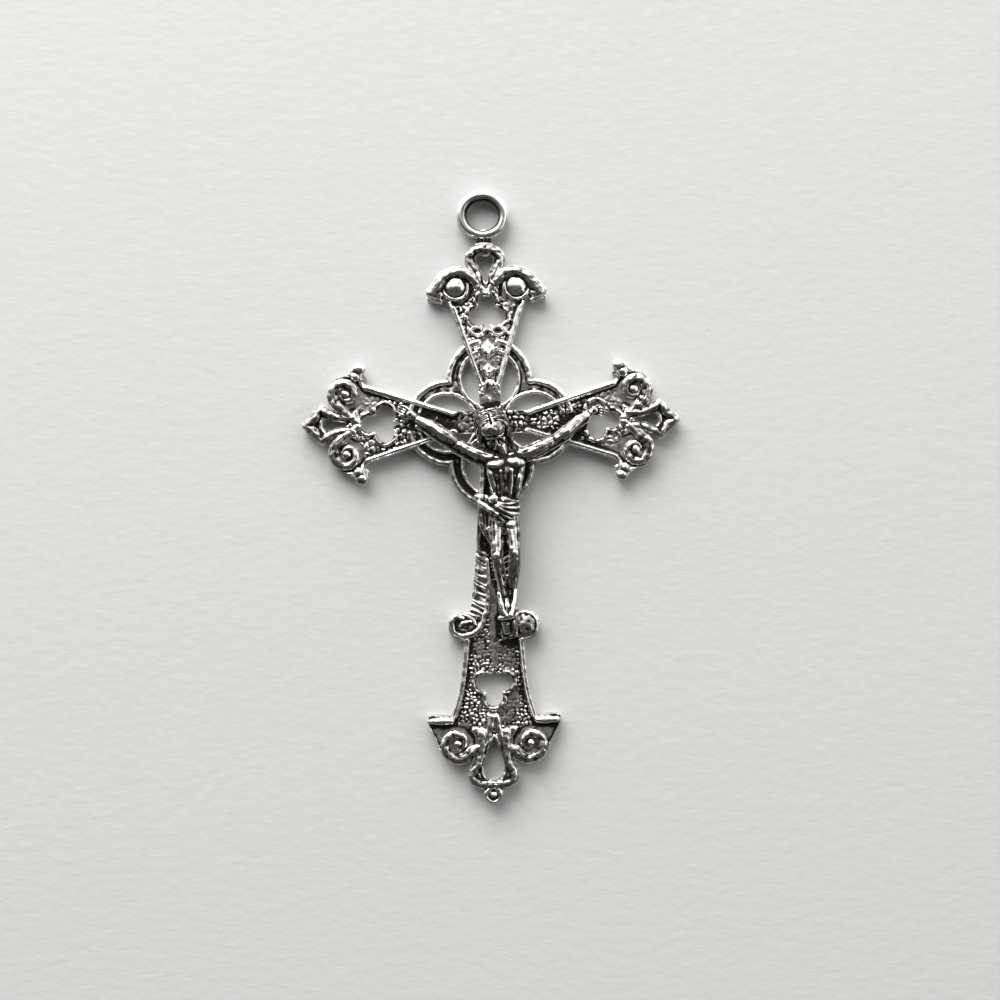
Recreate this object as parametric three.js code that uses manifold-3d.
// A small openwork crucifix pendant, worn on a neck chain or hung at the end of a rosary.
// Millimetres, +Z up. The pendant hangs upright: the origin is the centre of its hanging ring,
// the front faces -Y, the flat back faces +Y, and the viewer's right is +X.
// It is built as a silversmith builds the master: a pierced plate, with loops, scrolls, bosses,
// a figure and its nails soldered on. Neighbouring pieces keep a small solder gap.
import * as THREE from "three";
import { mergeVertices } from "three/addons/utils/BufferGeometryUtils.js";
import Module from "manifold-3d";

const wasm = await Module();
wasm.setup();

// Driving dimensions.
const GAP = 0.03; // solder gap between neighbouring pieces
const BACK = 0.8; // Y of the flat back
const PLATE_FRONT = -0.5; // Y of the plate's front face
const HALO_FRONT = -0.4; // the petals lie a little below the limbs
const SEAT = PLATE_FRONT - GAP; // Y of the backs of everything soldered on the front
const RING = { middle: 1.64, halfWidth: 0.4, halfDepth: 0.8 };
const CROSSING_Z = -16.83; // the crossing of the limbs, below the ring centre
const BOW = { sagitta: 0.37, half: 23.7 }; // the upright is cast with a slight bow to the right
const PETAL = { offset: 3.4, outer: 3.5, holeOffset: 3.55, hole: 2.3 };
const STRAND = 0.27; // radius of the wire that the scrolls are made of
const EYE = { radius: 0.5, height: 0.62 }; // the boss in the middle of a volute
const CURL = { start: -50, end: 300, steps: 9, shrink: 0.68 }; // a volute's turn, in degrees
const DIAMOND = { height: 0.55, upper: { d: 6.05, half: 0.78 }, lower: { d: 4.3, half: 0.56 } };
const ROUND_BOSS = { d: 2.75, radius: 0.6, height: 0.45 };

// A trefoil piercing, with distances from the limb's trefoil value.
const TREFOIL = {
  outer: { d: 2.1, radius: 0.74 },
  side: { d: 0.85, w: 0.84, radius: 0.84 },
  notch: [[-0.35, 0], [0.75, 0.5], [1.3, 1.0], [1.9, 0.7], [1.9, -0.7], [1.3, -1.0], [0.75, -0.5]],
  rim: { width: 0.26, clearance: 0.02, height: 0.22 },
};

// Fineness of round shapes.
const ARC_STEPS = 4; // straight lines in a quarter or half of a small round
const ROUND_SIDES = 22; // sides of a large round
const SMALL_SIDES = 8; // sides of a small round
const FIGURE_SIDES = 9; // sides of the figure's rounds
const WIRE_STEPS = 15; // stretches in a scroll's wire
const LOOP_STEPS = 12; // stretches in one side of a limb's end loop

// A limb of the cross. Places on it are (d, w): d out along the limb from the crossing, w sideways.
// root is half its width at the crossing, edge its side from there out to the ear, and ear the
// pointed corner. A volute sits each side of the end, and the plate stops at valley between them.
const UPPER = {
  root: 0.9,
  edge: [[3.06, 0.9], [9.8, 3.1], [9.75, 3.7]],
  ear: [10.1, 4.85],
  volute: { d: 11.0, w: 2.5, radius: 1.5 },
  valley: 10.9,
  trefoil: 7.75,
  drop: { point: 11.2, end: 13.87, half: 0.85 },
  finial: [[10.93, 0.94], [12, 1.05], [12.9, 1.56], [13.6, 1.6], [14.2, 1.1], [14.45, 0.4]],
};
const SIDE = {
  ...UPPER,
  edge: [[3.06, 0.9], [10.0, 3.15], [10.0, 3.8]],
  ear: [10.5, 4.95],
  volute: { d: 11.75, w: 2.45, radius: 1.45 },
  valley: 11.2,
  drop: { point: 11.5, end: 13.75, half: 0.7 },
  finial: [[11.23, 0.94], [12.3, 0.95], [13.2, 1.3], [13.8, 1.62], [14.3, 1.2], [14.55, 0.85], [15.25, 0.3]],
};
const LOWER = {
  ...UPPER,
  edge: [[3.06, 0.9], [5.2, 1.0], [8.7, 1.3], [10.5, 1.4], [12.35, 1.57], [14.2, 1.75], [15.45, 1.95]],
  lobe: { d: 16.55, w: 2.45, radius: 1.28 },
  beyondLobe: [[17.85, 2.38], [21.0, 2.7], [22.5, 3.0], [23.9, 3.46], [23.85, 4.1]],
  ear: [24.1, 5.42],
  volute: { d: 26.15, w: 2.98, radius: 1.5 },
  valley: 25.2,
  trefoil: 20.35,
  drop: { point: 25.6, end: 29.3, half: 0.92 },
  finial: [[25.23, 1.42], [26.3, 1.4], [27.4, 1.55], [28.3, 1.98], [29.0, 2.08], [29.55, 1.7], [29.85, 0.95]],
};
const BEAD = { d: 30.35, radius: 0.74, proud: 0.1, dome: 0.4 };
// The inner border of a leaf scroll, down the lower limb and round into its side lobe.
const LEAF_ROUTE = [
  [13.6, 0.32], [15.1, 0.5], [16.3, 0.85], [17.2, 1.6], [17.45, 2.5],
  [16.9, 3.3], [16.0, 3.1], [15.85, 2.4], [16.35, 2.1],
];
const LIMBS = {
  top: { ...UPPER, out: [0, 1] },
  right: { ...SIDE, out: [1, 0] },
  bottom: { ...LOWER, out: [0, -1] },
  left: { ...SIDE, out: [-1, 0] },
};
const NECK = { half: 0.8, bottom: 13.9, overlap: 0.4 }; // the saddle under the ring, before it is hollowed

const silver = (color, roughness) => new THREE.MeshStandardMaterial({ color, roughness, metalness: 1 });
const FINISH = {
  plate: silver(0x8f8c87, 0.42),
  wire: silver(0xc9c7c2, 0.28),
  figure: silver(0xb9b7b2, 0.3),
  ring: silver(0xd4d3cf, 0.25),
};

// The point (d, w) of a limb, in X and Z. Positive w is clockwise of the limb's direction.
function place(limb, d, w) {
  const [x, z] = limb.out;
  return new THREE.Vector2(x * d + z * w, z * d - x * w);
}

// A closed geometry as a manifold solid, ready to join and cut.
function solid(geometry) {
  geometry.deleteAttribute("normal");
  geometry.deleteAttribute("uv");
  const merged = mergeVertices(geometry, 1e-4);
  return new wasm.Manifold(
    new wasm.Mesh({
      numProp: 3,
      vertProperties: merged.attributes.position.array,
      triVerts: new Uint32Array(merged.index.array),
    }),
  );
}

function join(solids) {
  return solids.reduce((whole, next) => whole.add(next));
}

// How far the bow moves a point sideways, at a height above the crossing.
function bowed(z) {
  const share = (z + CROSSING_Z + BOW.half) / BOW.half;
  return BOW.sagitta * (1 - share * share);
}

// A solid, bowed with the rest of the casting, as a named mesh.
function piece(name, shape, material) {
  const mesh = shape.warp((point) => {
    point[0] += bowed(point[2]);
  }).getMesh();
  const geometry = new THREE.BufferGeometry();
  geometry.setAttribute("position", new THREE.BufferAttribute(mesh.vertProperties, 3));
  geometry.setIndex(new THREE.BufferAttribute(mesh.triVerts, 1));
  geometry.computeVertexNormals();
  const made = new THREE.Mesh(geometry, material);
  made.name = name;
  return made;
}

// A flat outline in X and Z, as a slab from its front face to its back face.
function slab(points, front, back, holes = []) {
  const shape = new THREE.Shape(points);
  shape.holes = holes.map((hole) => new THREE.Path(hole));
  const geometry = new THREE.ExtrudeGeometry(shape, { depth: back - front, bevelEnabled: false });
  geometry.rotateX(Math.PI / 2);
  geometry.translate(0, back, 0);
  return solid(geometry);
}

// A round post through the thickness, at a point given in X and Z.
function post(at, radius, front, back) {
  const geometry = new THREE.CylinderGeometry(radius, radius, back - front, ROUND_SIDES);
  geometry.translate(at.x, (front + back) / 2, at.y);
  return solid(geometry);
}

// A low round button that stands on the plane y = seat.
function dome(at, radius, height, seat = SEAT) {
  const profile = [new THREE.Vector2(0, 0), new THREE.Vector2(radius, 0)];
  for (let i = 1; i < ARC_STEPS; i += 1) {
    const angle = (i / ARC_STEPS) * (Math.PI / 2);
    profile.push(new THREE.Vector2(radius * Math.cos(angle), height * Math.sin(angle)));
  }
  profile.push(new THREE.Vector2(0, height));
  const geometry = new THREE.LatheGeometry(profile, SMALL_SIDES);
  geometry.rotateX(Math.PI);
  geometry.translate(at.x, seat, at.y);
  return solid(geometry);
}

// A round wire along a smooth line through points of the front face, lying on the seat.
function wire(points, radius) {
  const line = new THREE.CatmullRomCurve3(points.map((p) => new THREE.Vector3(p.x, SEAT - radius, p.y)));
  const section = new THREE.Shape().absarc(0, 0, radius, 0, 2 * Math.PI);
  const options = { steps: WIRE_STEPS, extrudePath: line, curveSegments: 3, bevelEnabled: false };
  return solid(new THREE.ExtrudeGeometry(section, options));
}

// Points on an arc of a limb, round (d, w), from one angle to another. 0 is outward, 90 sideways.
function arc(limb, { d, w, radius }, from, to, side) {
  return Array.from({ length: ARC_STEPS + 1 }, (_, i) => {
    const angle = THREE.MathUtils.degToRad(from + ((to - from) * i) / ARC_STEPS);
    return place(limb, d + radius * Math.cos(angle), side * (w + radius * Math.sin(angle)));
  });
}

// Half the width of a limb at a distance d that lies between two points of its edge.
function halfWidth(limb, d) {
  const next = limb.edge.findIndex(([at]) => at > d);
  const [before, w0] = limb.edge[next - 1];
  const [after, w1] = limb.edge[next];
  return THREE.MathUtils.mapLinear(d, before, after, w0, w1);
}

// One side of a limb, from its root at the crossing to the middle of its end.
function limbSide(limb, side) {
  const points = limb.edge.map(([d, w]) => place(limb, d, side * w));
  if (limb.lobe) {
    points.push(...arc(limb, limb.lobe, 140, 20, side).slice(0, -1));
    points.push(...limb.beyondLobe.map(([d, w]) => place(limb, d, side * w)));
  }
  points.push(place(limb, limb.ear[0], side * limb.ear[1]));
  points.push(...arc(limb, limb.volute, 85, -90, side));
  points.push(place(limb, limb.valley, side * (limb.volute.w - limb.volute.radius)));
  return points;
}

// The outline of the whole cross, clockwise from the top limb's left side.
function crossOutline() {
  return ["top", "right", "bottom", "left"].flatMap((name) => {
    const limb = LIMBS[name];
    return [...limbSide(limb, -1), ...limbSide(limb, 1).reverse(), place(limb, limb.root, limb.root)];
  });
}

// The three round lobes and the inward notch of a trefoil piercing, grown by an amount.
function trefoil(limb, grow, front, back) {
  const start = limb.trefoil;
  const { outer, side, notch } = TREFOIL;
  const lobe = (d, w, radius) => post(place(limb, start + d, w), radius + grow, front, back);
  return join([
    lobe(outer.d, 0, outer.radius),
    lobe(side.d, side.w, side.radius),
    lobe(side.d, -side.w, side.radius),
    slab(notch.map(([d, w]) => place(limb, start + d, w)), front, back),
  ]);
}

// A teardrop: pointed end at drop.point, round end at drop.end, drop.half its greatest half width.
function teardrop(limb, drop) {
  const steps = 4 * ARC_STEPS;
  const widest = 0.77; // the largest value of sin(a) * sin(a / 2)
  return Array.from({ length: steps }, (_, i) => {
    const angle = (i / steps) * 2 * Math.PI;
    const d = drop.point + ((drop.end - drop.point) * (1 - Math.cos(angle))) / 2;
    const w = (drop.half / widest) * Math.sin(angle) * Math.sin(angle / 2);
    return place(limb, d, w);
  });
}

function crossPlate() {
  let plate = slab(crossOutline(), PLATE_FRONT, BACK);
  for (const limb of Object.values(LIMBS)) {
    plate = plate.subtract(trefoil(limb, 0, PLATE_FRONT - 1, BACK + 1));
  }
  return plate;
}

// A raised rim round a trefoil piercing, open at the notch.
function trefoilRim(limb) {
  const { width, clearance, height } = TREFOIL.rim;
  const front = SEAT - height;
  return trefoil(limb, width, front, SEAT).subtract(trefoil(limb, clearance, front - 1, SEAT + 1));
}

// The outline of the loop at a limb's end, grown by an amount.
function loopOutline(limb, grow) {
  const half = new THREE.SplineCurve(limb.finial.map(([d, w]) => new THREE.Vector2(d, w)));
  const points = half.getPoints(LOOP_STEPS).map((p) => [p.x + grow, p.y + grow]);
  return [
    ...points.map(([d, w]) => place(limb, d, w)),
    ...points.reverse().map(([d, w]) => place(limb, d, -w)),
  ];
}

// The loop at a limb's end, with its teardrop opening. The lower one is cut round to take the bead.
function finial(limb) {
  const bead = post(place(LIMBS.bottom, BEAD.d, 0), BEAD.radius + GAP, PLATE_FRONT - 1, BACK + 1);
  return slab(loopOutline(limb, 0), PLATE_FRONT, BACK, [teardrop(limb, limb.drop)]).subtract(bead);
}

// The bead at the foot of the cross, flat behind.
function tipBead() {
  const at = place(LIMBS.bottom, BEAD.d, 0);
  const front = PLATE_FRONT - BEAD.proud;
  return post(at, BEAD.radius, front, BACK).add(dome(at, BEAD.radius, BEAD.dome, front + 0.01));
}

// A volute: a wire that runs out from the limb's middle, round the eye and in to it.
function volute(limb, side) {
  const { d, w, radius } = limb.volute;
  const reach = radius - STRAND;
  const points = [place(limb, limb.valley - 0.1, side * (STRAND + 0.05))];
  for (let i = 0; i <= CURL.steps; i += 1) {
    const share = i / CURL.steps;
    const angle = THREE.MathUtils.degToRad(CURL.start + (CURL.end - CURL.start) * share);
    const r = reach * (1 - CURL.shrink * share);
    points.push(place(limb, d + r * Math.cos(angle), side * (w + r * Math.sin(angle))));
  }
  return wire(points, STRAND).add(dome(place(limb, d, side * w), EYE.radius, EYE.height));
}

// A leaf scroll on the lower limb, with the boss that it curls round. sideX is -1 on the viewer's
// left, and that limb's w runs the other way.
function leafScroll(sideX) {
  const limb = LIMBS.bottom;
  const side = -sideX;
  const points = LEAF_ROUTE.map(([d, w]) => place(limb, d, side * w));
  const eye = place(limb, limb.lobe.d, side * limb.lobe.w);
  return wire(points, STRAND).add(dome(eye, EYE.radius + 0.1, EYE.height));
}

// A quarter of the halo: half of an upright petal and half of a level one, between two limbs.
function haloQuarter(sideX, sideZ) {
  const uprightLimb = sideZ > 0 ? UPPER : LOWER;
  const far = 8; // well beyond the petals
  const edge = (limb) => [...limb.edge.filter(([d]) => d < far), [far, halfWidth(limb, far)]];
  const root = UPPER.root + GAP;
  const between = [
    [root, root],
    ...edge(uprightLimb).map(([d, w]) => [w + GAP, d]),
    [far, far],
    ...edge(SIDE).map(([d, w]) => [d, w + GAP]).reverse(),
  ].map(([x, z]) => new THREE.Vector2(sideX * x, sideZ * z));
  const round = (x, z, radius, spare) =>
    post(new THREE.Vector2(sideX * x, sideZ * z), radius, HALO_FRONT - spare, BACK + spare);
  return round(0, PETAL.offset, PETAL.outer, 0)
    .add(round(PETAL.offset, 0, PETAL.outer, 0))
    .subtract(round(0, PETAL.holeOffset, PETAL.hole, 1))
    .subtract(round(PETAL.holeOffset, 0, PETAL.hole, 1))
    .intersect(slab(between, HALO_FRONT - 1, BACK + 1));
}

// A faceted diamond boss, four-sided, pointed towards the viewer.
function diamond({ d, half }) {
  const cone = new THREE.ConeGeometry(half, DIAMOND.height, 4);
  cone.rotateX(Math.PI);
  cone.translate(0, SEAT - DIAMOND.height / 2, d);
  return solid(cone);
}

// The round boss under the diamonds.
function roundBoss() {
  return dome(place(LIMBS.top, ROUND_BOSS.d, 0), ROUND_BOSS.radius, ROUND_BOSS.height);
}

// A rounded limb of the figure between two points, thicker at one end than the other.
function bone(from, to, fromRadius, toRadius) {
  const a = new THREE.Vector3(...from);
  const b = new THREE.Vector3(...to);
  const length = a.distanceTo(b);
  const caps = 2; // rings of facets on each rounded end
  const profile = [new THREE.Vector2(0, -fromRadius)];
  for (let i = 1; i <= caps; i += 1) {
    const angle = (i / caps) * (Math.PI / 2);
    profile.push(new THREE.Vector2(fromRadius * Math.sin(angle), -fromRadius * Math.cos(angle)));
  }
  for (let i = 0; i < caps; i += 1) {
    const angle = (i / caps) * (Math.PI / 2);
    profile.push(new THREE.Vector2(toRadius * Math.cos(angle), length + toRadius * Math.sin(angle)));
  }
  profile.push(new THREE.Vector2(0, length + toRadius));
  const geometry = new THREE.LatheGeometry(profile, FIGURE_SIDES - 2);
  const turn = new THREE.Quaternion().setFromUnitVectors(
    new THREE.Vector3(0, 1, 0),
    b.clone().sub(a).normalize(),
  );
  geometry.applyQuaternion(turn);
  geometry.translate(a.x, a.y, a.z);
  return solid(geometry);
}

// A chain of rounded limbs through joints, each given as [x, y, z, radius].
function limbChain(joints) {
  return join(
    joints.slice(1).map((joint, i) => {
      const before = joints[i];
      return bone(before.slice(0, 3), joint.slice(0, 3), before[3], joint[3]);
    }),
  );
}

function ellipsoid([x, y, z], [rx, ry, rz]) {
  const geometry = new THREE.SphereGeometry(1, FIGURE_SIDES, 6);
  geometry.scale(rx, ry, rz);
  geometry.translate(x, y, z);
  return solid(geometry);
}

// Joints of the figure, as [x, y, z, radius] from the crossing of the limbs.
const FIGURE = {
  leftArm: [[0.05, -1.75, -2.95, 0.55], [-2.85, -1.6, -1.75, 0.42], [-4.3, -1.45, -0.75, 0.5]],
  leftForearm: [[-4.3, -1.45, -0.75, 0.5], [-5.8, -1.2, 0.15, 0.33]],
  leftHand: [[-5.8, -1.2, 0.15, 0.33], [-6.7, -1.05, 0.75, 0.42], [-7.35, -0.95, 1.15, 0.28]],
  rightArm: [[2.4, -1.75, -2.65, 0.55], [5.1, -1.6, -1.6, 0.42], [6.5, -1.45, -0.65, 0.5]],
  rightForearm: [[6.5, -1.45, -0.65, 0.5], [7.8, -1.2, 0.4, 0.33]],
  rightHand: [[7.8, -1.2, 0.4, 0.33], [8.5, -1.05, 0.72, 0.42], [9.15, -0.95, 0.58, 0.28]],
  leftLeg: [[0.2, -1.75, -7.6, 0.75], [0.3, -2.6, -10.9, 0.55], [0.8, -1.95, -14.3, 0.36]],
  rightLeg: [[1.4, -1.75, -7.6, 0.75], [1.75, -2.6, -10.8, 0.55], [1.5, -1.85, -14.2, 0.36]],
  feet: [[1.15, -1.85, -14.4, 0.5], [1.15, -2.1, -15.7, 0.55], [1.2, -1.65, -17.3, 0.5]],
  clothTail: [[-0.95, -1.5, -6.6, 0.3], [-0.75, -1.4, -8.6, 0.36], [0.1, -1.5, -10.2, 0.26]],
};

function corpus() {
  const chains = Object.values(FIGURE).map(limbChain);
  return join([
    ...chains,
    ellipsoid([0.45, -2.4, -0.85], [1.05, 1.15, 1.5]), // head
    ellipsoid([0.3, -1.95, -0.9], [1.3, 1.15, 1.6]), // hair
    bone([0.8, -1.9, -1.9], [1.15, -1.6, -3.0], 0.5, 0.6), // neck
    bone([-0.05, -1.75, -2.95], [2.45, -1.75, -2.7], 0.62, 0.62), // shoulders
    ellipsoid([1.15, -1.8, -3.8], [1.35, 1.0, 1.35]), // chest
    ellipsoid([1.1, -1.65, -5.3], [1.05, 0.85, 1.5]), // belly
    ellipsoid([0.8, -1.7, -7.3], [1.45, 1.08, 1.75]), // loincloth
    ellipsoid([-0.85, -1.6, -6.25], [0.55, 0.5, 0.5]), // its knot
  ]);
}

const NAILS = {
  nail_left_hand: [-6.5, -1.44, 0.62],
  nail_right_hand: [8.35, -1.44, 0.65],
  nail_feet: [1.15, -2.6, -15.65],
};
const NAIL = { head: 0.26, height: 0.2, shank: 0.11, depth: 0.35 };

// A nail: a domed head and the shank that is set in the figure. grow widens it to cut its own hole.
function nail([x, y, z], grow) {
  const at = new THREE.Vector2(x, z);
  const head = dome(at, NAIL.head + grow, NAIL.height + 2 * grow, y + grow);
  return head.add(post(at, NAIL.shank + grow, y - 0.02, y + NAIL.depth + grow));
}

function hangingRing() {
  const sides = SMALL_SIDES + 2;
  const profile = Array.from({ length: sides + 1 }, (_, i) => {
    const angle = ((i % sides) / sides) * 2 * Math.PI;
    return new THREE.Vector2(
      RING.middle + RING.halfWidth * Math.cos(angle),
      RING.halfDepth * Math.sin(angle),
    );
  });
  const geometry = new THREE.LatheGeometry(profile, ROUND_SIDES);
  geometry.translate(0, 0, -CROSSING_Z);
  return solid(geometry);
}

// The short saddle that joins the ring to the top loop, hollowed to fit both.
function ringNeck() {
  const outer = RING.middle + RING.halfWidth;
  const top = -CROSSING_Z - outer + NECK.overlap;
  const block = [[-NECK.half, NECK.bottom], [NECK.half, NECK.bottom], [NECK.half, top], [-NECK.half, top]];
  return slab(block.map(([x, z]) => new THREE.Vector2(x, z)), PLATE_FRONT, BACK)
    .subtract(slab(loopOutline(LIMBS.top, GAP), PLATE_FRONT - 1, BACK + 1))
    .subtract(post(new THREE.Vector2(0, -CROSSING_Z), outer + GAP, PLATE_FRONT - 1, BACK + 1));
}

// The figure with the nail holes drilled in it.
function drilledCorpus() {
  return Object.values(NAILS).reduce((figure, at) => figure.subtract(nail(at, 0.02)), corpus());
}

const pendant = new THREE.Group();
pendant.position.z = CROSSING_Z;
pendant.add(piece("cross_plate", crossPlate(), FINISH.plate));
for (const [name, limb] of Object.entries(LIMBS)) {
  pendant.add(piece(`finial_${name}`, finial(limb), FINISH.plate));
  pendant.add(piece(`trefoil_rim_${name}`, trefoilRim(limb), FINISH.wire));
  pendant.add(piece(`volute_${name}_a`, volute(limb, -1), FINISH.wire));
  pendant.add(piece(`volute_${name}_b`, volute(limb, 1), FINISH.wire));
}
for (const [sideX, nameX] of [[-1, "left"], [1, "right"]]) {
  for (const [sideZ, nameZ] of [[1, "upper"], [-1, "lower"]]) {
    pendant.add(piece(`halo_${nameZ}_${nameX}`, haloQuarter(sideX, sideZ), FINISH.plate));
  }
  pendant.add(piece(`leaf_scroll_${nameX}`, leafScroll(sideX), FINISH.wire));
}
pendant.add(piece("tip_bead", tipBead(), FINISH.wire));
pendant.add(piece("diamond_boss_upper", diamond(DIAMOND.upper), FINISH.wire));
pendant.add(piece("diamond_boss_lower", diamond(DIAMOND.lower), FINISH.wire));
pendant.add(piece("round_boss", roundBoss(), FINISH.wire));
pendant.add(piece("corpus", drilledCorpus(), FINISH.figure));
for (const [name, at] of Object.entries(NAILS)) pendant.add(piece(name, nail(at, 0), FINISH.ring));
pendant.add(piece("ring_neck", ringNeck(), FINISH.ring));
pendant.add(piece("hanging_ring", hangingRing(), FINISH.ring));

export default pendant;
